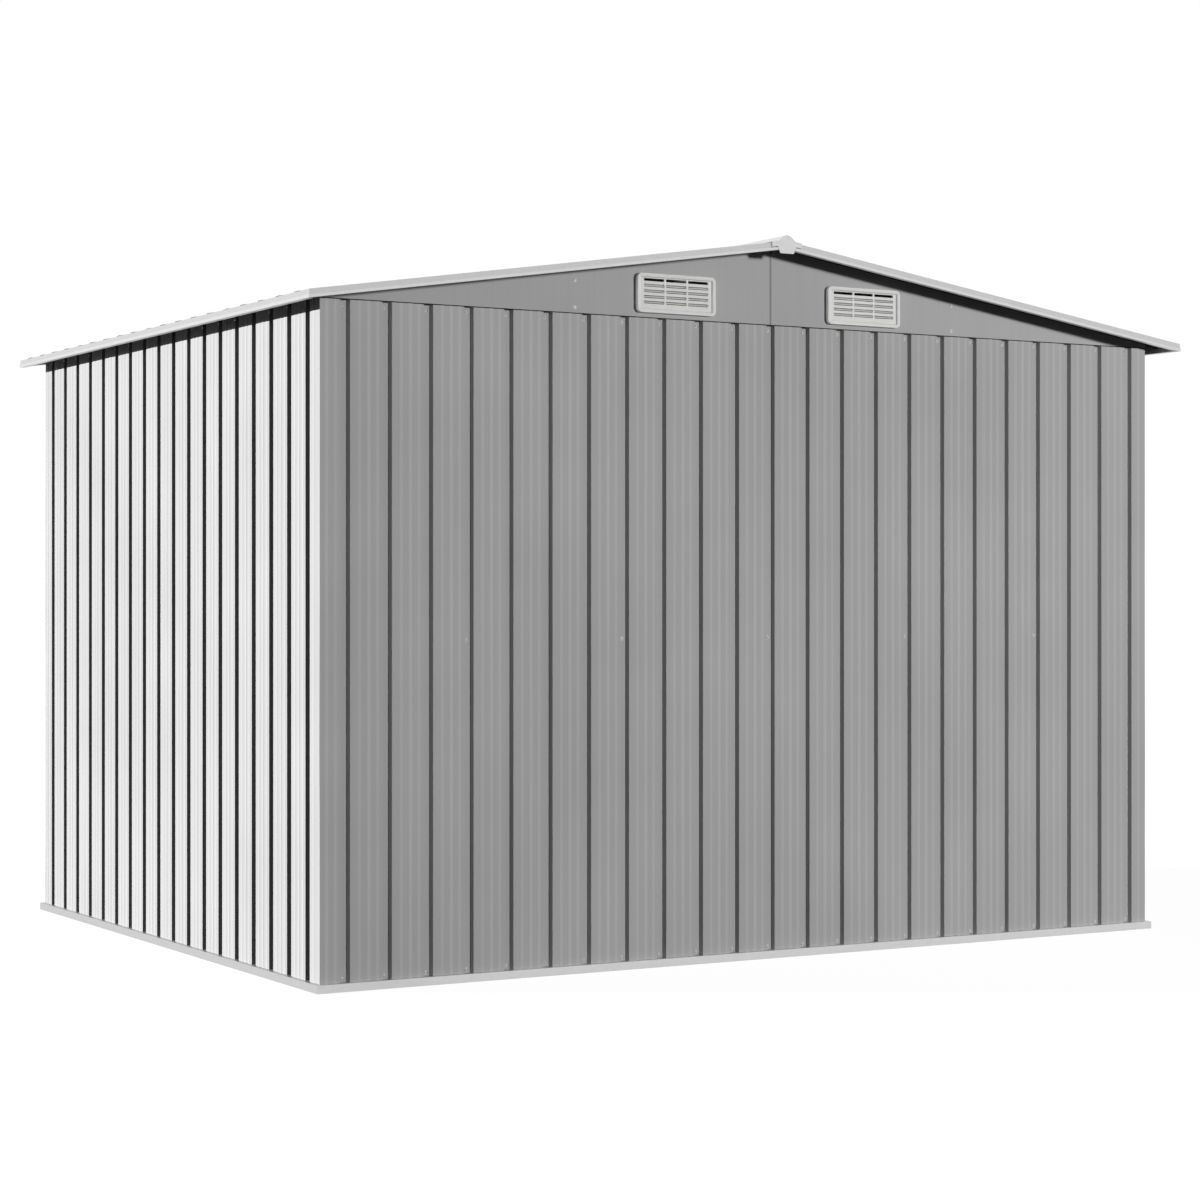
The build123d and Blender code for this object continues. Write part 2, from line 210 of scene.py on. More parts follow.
def aluminiumZincTrim(name, colour):
    # Folded trim of aluminium-zinc coated steel with a clear chromate film: a pale satin metal that
    # takes its tone from what is round it, with a hardly visible spangle, and painted shade on the
    # set-back upper band of the roof trims and on the base rails, most on the side walls.
    f = trimFinish
    material, tree, place = startFinish(name)
    crystal = spangles(tree, place, f["spangleMm"])
    tone = addNode(
        tree, "ShaderNodeMapRange", {"To Min": 0.97, "To Max": 1.03}, {"Value": crystal}).outputs[0]
    gloss = addNode(
        tree, "ShaderNodeMapRange", {"To Min": f["roughness"] - 0.04, "To Max": f["roughness"] + 0.04},
        {"Value": crystal}).outputs[0]
    return endFinish(
        material, tree, colour, withPaintedShading(tree, tone, f["dustDark"]), {"Metallic": f["metallic"]},
        {"Roughness": gloss, "Normal": fineGrain(tree, place, f)[1]})


zincFinish = {"roughness": 0.5, "spangleMm": 14, "spangleShare": 0.4, "dullMm": 260}


def hotDipGalvanisedSteel(name, colour):
    # Hot-dip galvanised strip, bent to channels: spangles of different grey that each shine at
    # another angle, over a dull zinc.
    f = zincFinish
    material, tree, place = startFinish(name)
    crystal = spangles(tree, place, f["spangleMm"])
    dull = addNode(
        tree, "ShaderNodeTexNoise", {"Scale": 1 / (f["dullMm"] * mm), "Detail": 3},
        {"Vector": place}).outputs[0]
    mixed = addNode(
        tree, "ShaderNodeMath", {"operation": "MULTIPLY_ADD", 1: f["spangleShare"]},
        {0: crystal, 2: dull}).outputs[0]
    tone = addNode(
        tree, "ShaderNodeMapRange", {"From Min": 0.4, "To Min": 0.8, "To Max": 1.12},
        {"Value": mixed}).outputs[0]
    gloss = addNode(
        tree, "ShaderNodeMapRange", {"To Min": f["roughness"] - 0.1, "To Max": f["roughness"] + 0.1},
        {"Value": crystal}).outputs[0]
    return endFinish(material, tree, colour, tone, {"Metallic": 1.0}, {"Roughness": gloss})


plasticFinish = {
    "cloudMm": 60, "shade": 0.03, "scatterMm": 5,
    "grainMm": 0.9, "grainHeightMm": 0.03, "grainDetail": 2, "grainStrength": 0.5}


def mouldedPlastic(name, colour, roughness, scatter):
    # Injection-moulded polypropylene from a spark-eroded mould: a close matt grain and a slightly
    # uneven tone where the melt flowed. Pale mouldings let light seep round their edges.
    f = plasticFinish
    material, tree, place = startFinish(name)
    cloud = addNode(
        tree, "ShaderNodeTexNoise", {"Scale": 1 / (f["cloudMm"] * mm), "Detail": 2},
        {"Vector": place}).outputs[0]
    tone = addNode(
        tree, "ShaderNodeMapRange",
        {"From Min": 0.3, "From Max": 0.7, "To Min": 1 - f["shade"], "To Max": 1 + f["shade"]},
        {"Value": cloud}).outputs[0]
    grain, bumps = fineGrain(tree, place, f)
    gloss = addNode(
        tree, "ShaderNodeMapRange",
        {"From Min": 0.3, "From Max": 0.7, "To Min": roughness - 0.06, "To Max": roughness + 0.06},
        {"Value": grain}).outputs[0]
    return endFinish(
        material, tree, colour, tone,
        {"IOR": 1.49, "Subsurface Weight": scatter, "Subsurface Radius": (1, 1, 1),
         "Subsurface Scale": f["scatterMm"] * mm}, {"Roughness": gloss, "Normal": bumps})


screwFinish = {"roughness": 0.5, "metallic": 0.5, "dullMm": 3}


def zincPlatedSteel(name, colour):
    # Pressed and zinc-plated screws: a pale, faintly bluish grey under a dull film of zinc oxide.
    f = screwFinish
    material, tree, place = startFinish(name)
    dull = addNode(
        tree, "ShaderNodeTexNoise", {"Scale": 1 / (f["dullMm"] * mm), "Detail": 2},
        {"Vector": place}).outputs[0]
    tone = addNode(
        tree, "ShaderNodeMapRange", {"To Min": 0.85, "To Max": 1.1}, {"Value": dull}).outputs[0]
    gloss = addNode(
        tree, "ShaderNodeMapRange", {"To Min": f["roughness"] - 0.1, "To Max": f["roughness"] + 0.1},
        {"Value": dull}).outputs[0]
    return endFinish(
        material, tree, colour, tone, {"Metallic": f["metallic"]}, {"Roughness": gloss})


fillerFinish = {"roughness": 0.95, "glossLevel": 0.05, "poreMm": 1.2, "poreDepthMm": 0.1}


def softFiller(name, colour):
    # Foam strip and joint mastic, the soft fillers of the gables' joints: dull, with fine pores.
    f = fillerFinish
    material, tree, place = startFinish(name)
    pores = addNode(
        tree, "ShaderNodeTexVoronoi", {"Scale": 1 / (f["poreMm"] * mm)},
        {"Vector": place}).outputs["Distance"]
    tone = addNode(
        tree, "ShaderNodeMapRange", {"To Min": 0.7, "To Max": 1.2}, {"Value": pores}).outputs[0]
    bump = addNode(
        tree, "ShaderNodeBump", {"Strength": 0.4, "Distance": f["poreDepthMm"] * mm},
        {"Height": pores}).outputs[0]
    return endFinish(
        material, tree, colour, tone,
        {"Roughness": f["roughness"], "Specular IOR Level": f["glossLevel"]}, {"Normal": bump})


finishes = {
    # The walls' and doors' grey is set above the sheet's own, to make up for the painted shade on their
    # flats.
    "wall_paint": satinPaintedSteel("wallSatinPaintedSteel", "#A7A7A7", 2),
    "door_paint": satinPaintedSteel("doorSatinPaintedSteel", "#A7A7A7", 2),
    "roof_paint": satinPaintedSteel("roofSatinPaintedSteel", "#A0A0A0", 0),
    "trim_paint": aluminiumZincTrim("foldedAluminiumZincTrim", "#D4D4D4"),
    "galvanised_frame": hotDipGalvanisedSteel("hotDipGalvanisedChannel", "#B4B6B8"),
    "vent_plastic": mouldedPlastic("mouldedVentPolypropylene", "#D2D2D0", 0.5, 0.7),
    "handle_plastic": mouldedPlastic("mouldedHandlePolypropylene", "#26272A", 0.45, 0),
}
gablePaint = satinPaintedSteel("gableSatinPaintedSteel", "#A2A2A2", 2)     # flat sheets, the sheet's own grey, without painted shading
shadedBackingCoat = backingCoatWithPaintedShade("mattEpoxyBackingCoat", sheetPaint["backing"])
screwZinc = zincPlatedSteel("zincPlatedScrews", "#D4D5D6")
# a real foam seal whose near-black also stands in for the shade in the gap under the gables: painted shade
foamSealWithPaintedShade = softFiller("closedCellFoamSeal", "#2B2B2B")
jointMastic = softFiller("greyJointMastic", "#868686")
slotOf = {part["node"]: part["material_slot"] for part in frame["record"]["subparts"]}
for node, slotName in slotOf.items():
    if node in frame["nodes"]:
        mesh = frame["nodes"][node].data
        mesh.materials.clear()
        mesh.materials.append(gablePaint if node.startswith("gable") else finishes[slotName])
print("stage: finishes")


# Meshes from arrays

fullTurn = 2 * math.pi


def unit(vectors):
    return vectors / np.linalg.norm(vectors, axis=-1, keepdims=True)


def pointsOf(x, y, z):  # three arrays of coordinates, spread to one shape
    return np.stack(np.broadcast_arrays(x, y, z), -1)


def ring(rows, columns):  # quads of a grid whose columns close to a ring
    row = np.arange(rows - 1)[:, None]
    column = np.arange(columns)[None, :]
    after = (column + 1) % columns
    quads = [row * columns + column, row * columns + after,
             (row + 1) * columns + after, (row + 1) * columns + column]
    return np.stack(quads, -1).reshape(-1, 4)


def tube(rows, columns):  # a ring grid of an even number of columns, with a strip across both ends
    strip = np.arange(columns // 2 - 1)
    lid = np.stack([strip, strip + 1, columns - 2 - strip, columns - 1 - strip], 1)
    return [ring(rows, columns), lid[:, ::-1], lid + (rows - 1) * columns]


def outwardFaces(points, faceSets):
    # Faces are turned outwards by the sign of the volume, which is a sixth of the sum of each
    # triangle's triple product.
    volume = 0.0
    for faces in faceSets:
        a, b, c = points[faces[:, 0]], points[faces[:, 1]], points[faces[:, 2]]
        volume += (a * np.cross(b, c)).sum()
        if faces.shape[1] == 4:
            volume += (a * np.cross(c, points[faces[:, 3]])).sum()
    return faceSets if volume > 0 else [faces[:, ::-1] for faces in faceSets]


def joined(parts):  # points and faces of several closed shapes as those of one mesh
    points, faceSets, count = [], [], 0
    for partPoints, partFaces in parts:
        for faces in outwardFaces(partPoints, partFaces):
            faceSets.append(faces + count)
        points.append(partPoints)
        count += len(partPoints)
    return np.vstack(points), [np.vstack(faceSets)]


def addPiece(
        name, points, faceSets, slotName, nodes=(), material=None, backs=None, dust=None, sharpDegrees=38):
    # Points in millimetres and index arrays become a mesh. Faces marked in backs have the backing
    # coat, and each point carries a share of painted shade.
    points = np.asarray(points, float).reshape(-1, 3) * mm
    faceSets = outwardFaces(points, faceSets)
    mesh = bpy.data.meshes.new(name)
    mesh.vertices.add(len(points))
    mesh.vertices.foreach_set("co", points.astype(np.float32).ravel())
    corners = np.concatenate([faces.ravel() for faces in faceSets]).astype(np.int32)
    sizes = np.concatenate([np.full(len(faces), faces.shape[1]) for faces in faceSets])
    mesh.loops.add(len(corners))
    mesh.loops.foreach_set("vertex_index", corners)
    mesh.polygons.add(len(sizes))
    mesh.polygons.foreach_set("loop_start", (np.cumsum(sizes) - sizes).astype(np.int32))
    mesh.update(calc_edges=True)
    mesh.shade_smooth()
    mesh.set_sharp_from_angle(angle=math.radians(sharpDegrees))
    mesh.materials.append(material or finishes[slotName])
    if backs is not None:
        mesh.materials.append(shadedBackingCoat)
        mesh.polygons.foreach_set("material_index", backs.astype(np.int32))
    if dust is not None:
        shares = mesh.attributes.new("grooveDust", "FLOAT", "POINT")
        shares.data.foreach_set("value", dust.astype(np.float32))
    piece = newObject(name, mesh)
    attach(piece, body)
    if nodes:
        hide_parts(*nodes)


def roundedLine(corners, radius, steps=4):
    # Every inner corner c becomes a parabola from a point before it to a point behind it:
    # (1-s)^2 a + 2 s (1-s) c + s^2 b, with a and b a tangent length, radius tan(turn / 2), away.
    corners = np.asarray(corners, float)
    lengths = np.linalg.norm(np.diff(corners, axis=0), axis=1)
    into, out = unit(np.diff(corners, axis=0))[:-1], unit(np.diff(corners, axis=0))[1:]
    halfTurn = np.arccos(np.clip((into * out).sum(1), -1, 1)) / 2
    room = 0.48 * np.minimum(lengths[:-1], lengths[1:])     # so that two arcs on a segment never meet
    reach = np.minimum(radius * np.tan(halfTurn), room)[:, None, None]
    s = np.linspace(0, 1, steps + 1)[None, :, None]
    middle = corners[1:-1, None, :]
    arcs = (1 - s) ** 2 * (middle - into[:, None] * reach) + 2 * s * (1 - s) * middle
    arcs = arcs + s ** 2 * (middle + out[:, None] * reach)
    line = np.vstack([corners[:1], arcs.reshape(-1, 2), corners[-1:]])
    apart = np.r_[True, np.linalg.norm(np.diff(line, axis=0), axis=1) > 1e-4]
    return line[apart]


def parallelLine(line, distance):
    # Every point goes to its left by the mitre of its two segments: p + d (m + n) / (1 + m n),
    # with m and n their unit normals.
    step = unit(np.diff(line, axis=0))
    normal = np.stack([-step[:, 1], step[:, 0]], 1)
    before, after = np.vstack([normal[:1], normal]), np.vstack([normal, normal[-1:]])
    return line + distance * (before + after) / (1 + (before * after).sum(1, keepdims=True))


def steepness(line):
    # The smaller of |depth step| / length of a point's two segments, as a share that is 0 up to a
    # half and 1 from nine tenths.
    step = np.diff(line, axis=0)
    steep = np.abs(step[:, 1]) / np.linalg.norm(step, axis=1)
    least = np.minimum(np.r_[steep[:1], steep], np.r_[steep, steep[-1:]])
    return np.clip((least - 0.5) / 0.4, 0, 1)


def addFoldedSheet(name, line, stations, place, thickness, slotName, nodes, backing=None, dust=None):
    # A line and its parallel form one closed section. The grid is that section at each station,
    # put in place by a function of across, depth and station, with a strip over both ends. The
    # backing coat is on the side of the line or of its parallel, and a share of painted shade is
    # given for each point of the line.
    section = np.vstack([line, parallelLine(line, thickness)[::-1]])
    count, rows = len(section), len(stations)
    grid = pointsOf(*place(section[None, :, 0], section[None, :, 1], stations[:, None]))
    backs = None
    if backing:
        column = np.tile(np.arange(count), rows - 1)
        if backing == "parallel":
            column = count - 2 - column
        backs = np.r_[(column >= 0) & (column < len(line) - 1), np.zeros(count - 2, bool)]
    if dust is not None:
        dust = np.tile(np.r_[dust, dust[::-1]], rows)
    addPiece(name, grid, tube(rows, count), slotName, nodes, backs=backs, dust=dust)


# Walls and doors

wallSheet = {
    "thickness": 0.8, "pitch": 105.75, "opening": 24, "floor": 22, "depth": 15,
    "foldRadius": 1.2,
    "beadPlaces": (0.33, 0.55, 0.76), "beadHeights": (1.2, 2, 1.2), "beadWidth": 12, "beadRadius": 9,
    "lapReach": 10,         # a lapped edge ends this far beyond the middle of its groove
    "rows": 33,
    "waveHeight": 0.30,     # the flats are not quite flat
    "waveLengths": (1130, 610, 370),
    "firstFlat": {"back": 0, "right": 40, "left": 80, "front": 120},     # each flat has a number
    # painted shade on the flats, which leaves the bead crests lighter as a painted highlight
    "flatDust": 0.16,
    "grooveDust": {"back": 0, "right": 0.9, "left": 0.9, "front": 0.3},     # painted shade on the grooves' steep walls, deepest on the side walls
}


def waves(flat, along, height, lengths):
    # Sum of sines along the sheet. Their phases come from a sine of the number of the flat, steep
    # enough that each flat has its own.
    total = 0
    for number, length in enumerate(lengths):
        phase = fullTurn * np.modf(np.abs(np.sin(flat * 12.9 + number * 4.1) * 437.5))[0]
        total = total + np.sin(fullTurn * along / length + phase) / (number + 1)
    return height * total


def ribbedLine(start, end, grooves, depthAtStart=0.0, depthAtEnd=0.0, beads=True, returns=(0, 0)):
    # Corners of a roll-formed sheet, sorted along the run: four for each groove, three for each
    # bead. A lapped edge starts or ends on the floor of its groove.
    w = wallSheet
    grooveAcross = np.array([-w["opening"], -w["floor"], w["floor"], w["opening"]]) / 2
    grooveDepth = np.array([0, 1, 1, 0]) * w["depth"]
    across = (np.array(grooves)[:, None] + grooveAcross).ravel()
    depth = np.tile(grooveDepth, len(grooves)).astype(float)
    radius = np.full(len(across), w["foldRadius"])
    if depthAtEnd:
        depth[-3:-1] = depthAtEnd
    if beads:
        flats = np.r_[grooves[0] - w["pitch"], grooves][:, None]
        middles = (flats + np.array(w["beadPlaces"]) * w["pitch"]).ravel()
        heights = np.tile(w["beadHeights"], len(flats))
        inside = (middles > start + w["beadWidth"]) & (middles < end - w["beadWidth"])
        middles, heights = middles[inside], heights[inside]
        beadAcross = (middles[:, None] + np.array([-0.5, 0, 0.5]) * w["beadWidth"]).ravel()
        beadDepth = (-heights[:, None] * np.array([0, 1, 0])).ravel()
        across, depth = np.r_[across, beadAcross], np.r_[depth, beadDepth]
        radius = np.r_[radius, np.full(len(beadAcross), w["beadRadius"])]
    order = np.argsort(across)
    inside = (across[order] > start) & (across[order] < end)
    order = order[inside]
    head, tail = [(start, depthAtStart)], [(end, depthAtEnd)]
    if returns[0]:
        head.insert(0, (start, returns[0]))
    if returns[1]:
        tail.append((end, returns[1]))
    corners = np.vstack([head, np.stack([across[order], depth[order]], 1), tail])
    radii = np.r_[[w["foldRadius"]] * (len(head) - 1), radius[order], [w["foldRadius"]] * (len(tail) - 1)]
    return roundedLine(corners, radii)


def sheetPaintedShading(line, side):  # painted shade: much on grooves' steep walls, little on flats, none on bead crests (a painted highlight)
    w = wallSheet
    crest = np.clip(-line[:, 1] / min(w["beadHeights"]), 0, 1)
    return np.maximum(w["grooveDust"][side] * steepness(line), w["flatDust"] * (1 - crest))


def flatShare(across, grooves):  # 0 on and beside a groove, 1 in the middle of a flat
    w = wallSheet
    distance = np.abs(across[..., None] - np.array(grooves)).min(-1)
    room = (w["pitch"] - w["opening"]) / 2
    return np.sin(np.clip((distance - w["opening"] / 2) / room, 0, 1) * math.pi / 2) ** 2


wallDirections = {  # run along the wall and inwards, as seen from above
    "back": ((-1, 0), (0, -1)), "right": ((0, 1), (-1, 0)),
    "left": ((0, -1), (1, 0)), "front": ((1, 0), (0, 1))}
beadTop = max(wallSheet["beadHeights"])
wallCorner = np.array([boxOf("right_panel_2")[1][0], boxOf("back_panel_2")[1][1]]) - beadTop
frontFace = boxOf("front_panel_left")[0][1] + beadTop
wallMiddle = np.array([0, (wallCorner[1] + frontFace) / 2])
wallHalf = np.array([wallCorner[0], (wallCorner[1] - frontFace) / 2])


def wallStart(side):  # the corner where the run of a wall starts, in plan
    along, inward = np.array(wallDirections[side])
    return wallMiddle - along * wallHalf - inward * wallHalf


def runOf(node, side):  # where a piece starts and ends along its wall
    along = np.array(wallDirections[side][0])
    low, high = boxOf(node)
    return sorted(((low[:2] - wallStart(side)) @ along, (high[:2] - wallStart(side)) @ along))


def wallLength(side):
    return 2 * abs(np.array(wallDirections[side][0]) @ wallHalf)


def inPlan(side, run, inwards):  # x and y of a place so far along a wall and so far in from its face
    along, inward = np.array(wallDirections[side])
    startX, startY = wallStart(side)
    return startX + run * along[0] + inwards * inward[0], startY + run * along[1] + inwards * inward[1]


def onWall(side, grooves, setback=0.0):
    # A sheet's across runs along the wall. In from its face go the setback, the depth and the waves,
    # which die out beside the grooves.
    firstFlat = wallSheet["firstFlat"][side] + round(grooves[0] / wallSheet["pitch"])

    def place(across, depth, height):
        flat = firstFlat + np.searchsorted(grooves, across)
        shift = waves(flat, height, wallSheet["waveHeight"], wallSheet["waveLengths"])
        return (*inPlan(side, across, setback + depth + shift * flatShare(across, grooves)), height)
    return place


def addRibbedSheet(node, ending, line, side, grooves, setback=0.0):
    low, high = boxOf(node)
    addFoldedSheet(
        node + ending, line, np.linspace(low[2], high[2], wallSheet["rows"]),
        onWall(side, grooves, setback), wallSheet["thickness"], slotOf[node], [node],
        backing="parallel", dust=sheetPaintedShading(line, side))


groovesOfWall = {}      # of each wall, the places of its grooves and whether each one is a lap


def addWall(side, nodes):
    # A sheet's grooves are counted from a lap: back from its far one on the first sheet, and on from
    # its near one on the others.
    w = wallSheet
    groovesOfWall[side] = []
    for number, node in enumerate(nodes):
        start, end = runOf(node, side)
        under, over = number > 0, number < len(nodes) - 1
        first, last = start + w["lapReach"], end - w["lapReach"]
        if not under:
            count = int((last - start - w["opening"] / 2) / w["pitch"])
            grooves = last - w["pitch"] * np.arange(count, -1, -1)
        elif over:
            grooves = first + w["pitch"] * np.arange(round((last - first) / w["pitch"]) + 1)
        else:
            room = (end - w["opening"] - first) / w["pitch"]
            grooves = first + w["pitch"] * np.arange(round(room - 0.5) + 1)
        line = ribbedLine(
            start, end, grooves, w["depth"] if under else 0, w["depth"] - w["thickness"] if over else 0)
        addRibbedSheet(node, "_sheet", line, side, grooves)
        own = grooves[1:] if under else grooves
        groovesOfWall[side] += [(groove, over and groove == grooves[-1]) for groove in own]


for side, count in (("back", 6), ("right", 5), ("left", 5)):
    addWall(side, [f"{side}_panel_{number}" for number in range(1, count + 1)])
print("stage: walls", {side: len(grooves) for side, grooves in groovesOfWall.items()})

frontSheet = {"jambReturn": 14, "doorReturn": 10, "doorSetback": 19}


def evenGrooves(start, end):  # grooves with two like end flats
    w = wallSheet
    gaps = int((end - start - 2 * w["opening"]) / w["pitch"])
    return (start + end - gaps * w["pitch"]) / 2 + w["pitch"] * np.arange(gaps + 1)


def addFrontSheet(node, ending, beads, returns, setback=0.0):
    start, end = runOf(node, "front")
    grooves = evenGrooves(start, end)
    line = ribbedLine(start, end, grooves, beads=beads, returns=returns)
    addRibbedSheet(node, ending, line, "front", grooves, setback)
    return grooves


groovesOfWall["front"] = []
jamb, leafEdge = frontSheet["jambReturn"], frontSheet["doorReturn"]
for node, returns in (("front_panel_left", (0, jamb)), ("front_panel_right", (jamb, 0))):
    grooves = addFrontSheet(node, "_sheet", True, returns)
    groovesOfWall["front"] += [(groove, False) for groove in grooves]
for node in ("door_left", "door_right"):
    addFrontSheet(node, "_leaf", False, (leafEdge, leafEdge), frontSheet["doorSetback"])
print("stage: doors and door wall")

# Roof sheets

roofSheet = {
    "thickness": 0.8, "ribFoot": 30, "ribCrest": 16, "ribHeight": 9, "foldRadius": 2.5, "ribs": 19,
    "sheets": 4, "stations": 19, "waveHeight": 0.35, "waveLengths": (900, 520, 310),
    "ease": 30}             # the waves reach their full height this far from a rib
ribTop = roofSheet["ribHeight"] + roofSheet["thickness"]
roofLow, roofHigh = boxOf("roof_sheet_right_2")
roofEave, roofTopX = roofHigh[0], roofLow[0]
roofSlope = (roofHigh[2] - ribTop - roofLow[2]) / (roofEave - roofTopX)


def roofUnder(x):  # height of the underside of the roof sheets
    return roofLow[2] + (roofEave - np.abs(x)) * roofSlope


def addRoofSide(sideName, sign):
    # A line of ribs and flats carried up the slope: height is the underside's, plus the line's and
    # the waves'.
    r = roofSheet
    nodes = [f"roof_sheet_{sideName}_{number}" for number in range(1, r["sheets"] + 1)]
    low, high = boxOf(nodes[0])
    firstY, lastY = low[1], boxOf(nodes[-1])[1][1]
    ribs = (firstY + lastY) / 2 + wallSheet["pitch"] * (np.arange(r["ribs"]) - (r["ribs"] - 1) / 2)
    offsets = np.array([-r["ribFoot"], -r["ribCrest"], r["ribCrest"], r["ribFoot"]]) / 2
    for number, node in enumerate(nodes):
        low, high = boxOf(node)
        under, over = number > 0, number < len(nodes) - 1
        own = ribs[(ribs > low[1]) & (ribs < high[1])]
        across = (own[:, None] + offsets).ravel()
        depth = np.tile(np.array([0, 1.0, 1.0, 0]) * r["ribHeight"], len(own))
        if over:
            depth[-3:-1] -= r["thickness"]
        kept = (across > low[1]) & (across < high[1])
        head = (low[1], r["ribHeight"] if under else 0)
        tail = (high[1], r["ribHeight"] - r["thickness"] if over else 0)
        line = roundedLine(np.vstack([head, np.stack([across, depth], 1)[kept], tail]), r["foldRadius"])

        def place(y, depth, x, own=own, number=number):
            flat = np.searchsorted(own, y) + 10 * number + 50 * sign     # no two sheets share a number
            shift = waves(flat, x, r["waveHeight"], r["waveLengths"])
            nearest = np.abs(y[..., None] - own).min(-1)
            share = np.clip((nearest - r["ribFoot"] / 2) / r["ease"], 0, 1)
            return sign * x, y, roofUnder(x) + depth + shift * share

        addFoldedSheet(
            node + "_sheet", line, np.linspace(roofEave, roofTopX, r["stations"]), place,
            r["thickness"], slotOf[node], [node], backing="line")
    return ribs


roofRibs = addRoofSide("right", 1)
addRoofSide("left", -1)
print("stage: roof sheets")

# Roof trims and base rails

signOf = {"right": 1, "left": -1}
outwardOf = {"back": 1, "front": -1}
trim = {
    "thickness": 0.8, "tall": 20, "lipHeight": 7, "lipStep": 1.5, "bottomFlange": 15, "foldRadius": 1.6,
    # the last value is the share of painted shade on the upper band of each trim
    "stations": 25, "waveHeight": 0.25, "waveLength": 430, "middleGap": 1, "bandDust": 0.17}
eaveLow, eaveHigh = boxOf("eave_trim_right")
eaveX, eaveBottom = eaveHigh[0], eaveLow[2]
vergeY = boxOf("verge_trim_back")[1][1]
roofSeat = roofUnder(eaveX) - eaveBottom


def trimLine(seat):  # inner edge, bottom flange, lower lip and upper band, outwards is +
    t = trim
    corners = [
        (-t["bottomFlange"], seat), (-t["bottomFlange"], 0), (0, 0), (0, t["lipHeight"]),
        (-t["lipStep"], t["lipHeight"] + t["lipStep"]), (-t["lipStep"], t["tall"])]
    return roundedLine(corners, t["foldRadius"])


def bandDust(line):  # painted shade on the set-back upper band alone
    return trim["bandDust"] * (line[:, 1] > trim["lipHeight"] + trim["lipStep"] / 2)


def softWave(piece, along, step, phase=0.0):
    # A sine along a folded piece, times 1 - step^4 so that it dies out towards the mitred ends.
    return piece["waveHeight"] * np.sin(fullTurn * along / piece["waveLength"] + phase) * (1 - step ** 4)


def addTrims():
    # One folded line carried along both eaves, and in halves up the four slopes of the two gables.
    t = trim
    steps = np.linspace(-1, 1, t["stations"])
    eaveLine = trimLine(roofSeat + roofSlope * (t["bottomFlange"] - t["thickness"]))
    vergeLine = trimLine(roofSeat)
    for name, sign in signOf.items():
        def placeEave(out, height, step, sign=sign):
            y = step * (vergeY + out)     # mitred: the ends keep the distance that the face has
            wave = np.minimum(softWave(t, y, step, sign), 0)
            return sign * (eaveX + out + wave), y, eaveBottom + height

        addFoldedSheet(
            f"eave_trim_{name}_folded", eaveLine, steps, placeEave, t["thickness"], "trim_paint",
            [f"eave_trim_{name}"], dust=bandDust(eaveLine))
    for name, outward in outwardOf.items():
        for sideName, sign in signOf.items():
            def placeVerge(out, height, step, outward=outward, sign=sign):
                x = t["middleGap"] + (step + 1) / 2 * (eaveX + out - t["middleGap"])
                wave = np.minimum(softWave(t, x, step, sign), 0)
                rise = (eaveX - x) * roofSlope
                return sign * x, outward * (vergeY + out + wave), eaveBottom + height + rise

            addFoldedSheet(
                f"verge_trim_{name}_{sideName}_folded", vergeLine, steps, placeVerge, t["thickness"],
                "trim_paint", [f"verge_trim_{name}"], dust=bandDust(vergeLine))


addTrims()

ridgeCap = {
    "thickness": 0.8, "halfWidth": 44, "foldHalfWidth": 24, "foldHeight": 12.5, "shoulderHalfWidth": 11,
    "shoulderHeight": 10, "foldRadius": 5, "stations": 3,
    "skirt": 12, "tongueDrop": 33.6, "tongueHalfWidth": 20, "tongueFlare": 7, "cornerRadius": 4,
    "hemWidth": 3.5, "hemHeight": 0.5, "endRows": 15, "rowGather": 1.8}     # the rows gather at the hem


def onRibs(x):
    return roofUnder(x) + ribTop


def addRidgeCap():
    # A rounded line over the ridge carried along it, and at each end a plate that hangs from it.
    c = ridgeCap
    half = np.array([
        (c["shoulderHalfWidth"], onRibs(c["shoulderHalfWidth"]) + c["shoulderHeight"] - c["thickness"]),
        (c["foldHalfWidth"], onRibs(c["foldHalfWidth"])), (c["halfWidth"], onRibs(c["halfWidth"]))])
    apex = (0, onRibs(0) + c["foldHeight"] - c["thickness"])
    capLine = roundedLine(np.vstack([half[::-1] * (-1, 1), apex, half]), c["foldRadius"])
    end = boxOf("ridge_cap")[1][1]
    addFoldedSheet(
        "ridge_cap_folded", capLine, np.linspace(-end, end, c["stations"]),
        lambda x, height, y: (x, y, height), c["thickness"], "trim_paint", ["ridge_cap"])
    root = c["tongueHalfWidth"] + c["tongueFlare"]
    halfFoot = np.array([
        (c["tongueHalfWidth"], onRibs(0) - c["tongueDrop"]), (root, onRibs(root) - c["skirt"]),
        (c["halfWidth"], onRibs(c["halfWidth"]) - c["skirt"])])
    footLine = roundedLine(np.vstack([halfFoot[::-1] * (-1, 1), halfFoot]), c["cornerRadius"])
    columns = np.union1d(footLine[:, 0], capLine[:, 0])
    share = np.linspace(0, 1, c["endRows"]) ** c["rowGather"]
    upright = np.stack([share, np.zeros(len(share))], 1)
    for name, outward in outwardOf.items():
        def placePlate(share, depth, x, outward=outward):
            # A share of the way from the foot line to the cap line. The hem stands proud of the rest
            # of the outer side by a height that falls off with the square of the distance from the foot.
            foot = np.interp(x, footLine[:, 0], footLine[:, 1])
            height = share * (np.interp(x, capLine[:, 0], capLine[:, 1]) + c["thickness"] - foot)
            away = np.clip(height / c["hemWidth"], 0, 1)
            back = c["hemHeight"] * away ** 2 * (depth < c["thickness"] / 2)
            return x, outward * (end - back - depth), foot + height

        addFoldedSheet(
            f"ridge_cap_end_{name}", upright, columns, placePlate, c["thickness"], "trim_paint", [])


addRidgeCap()
print("stage: roof trims and ridge cap")

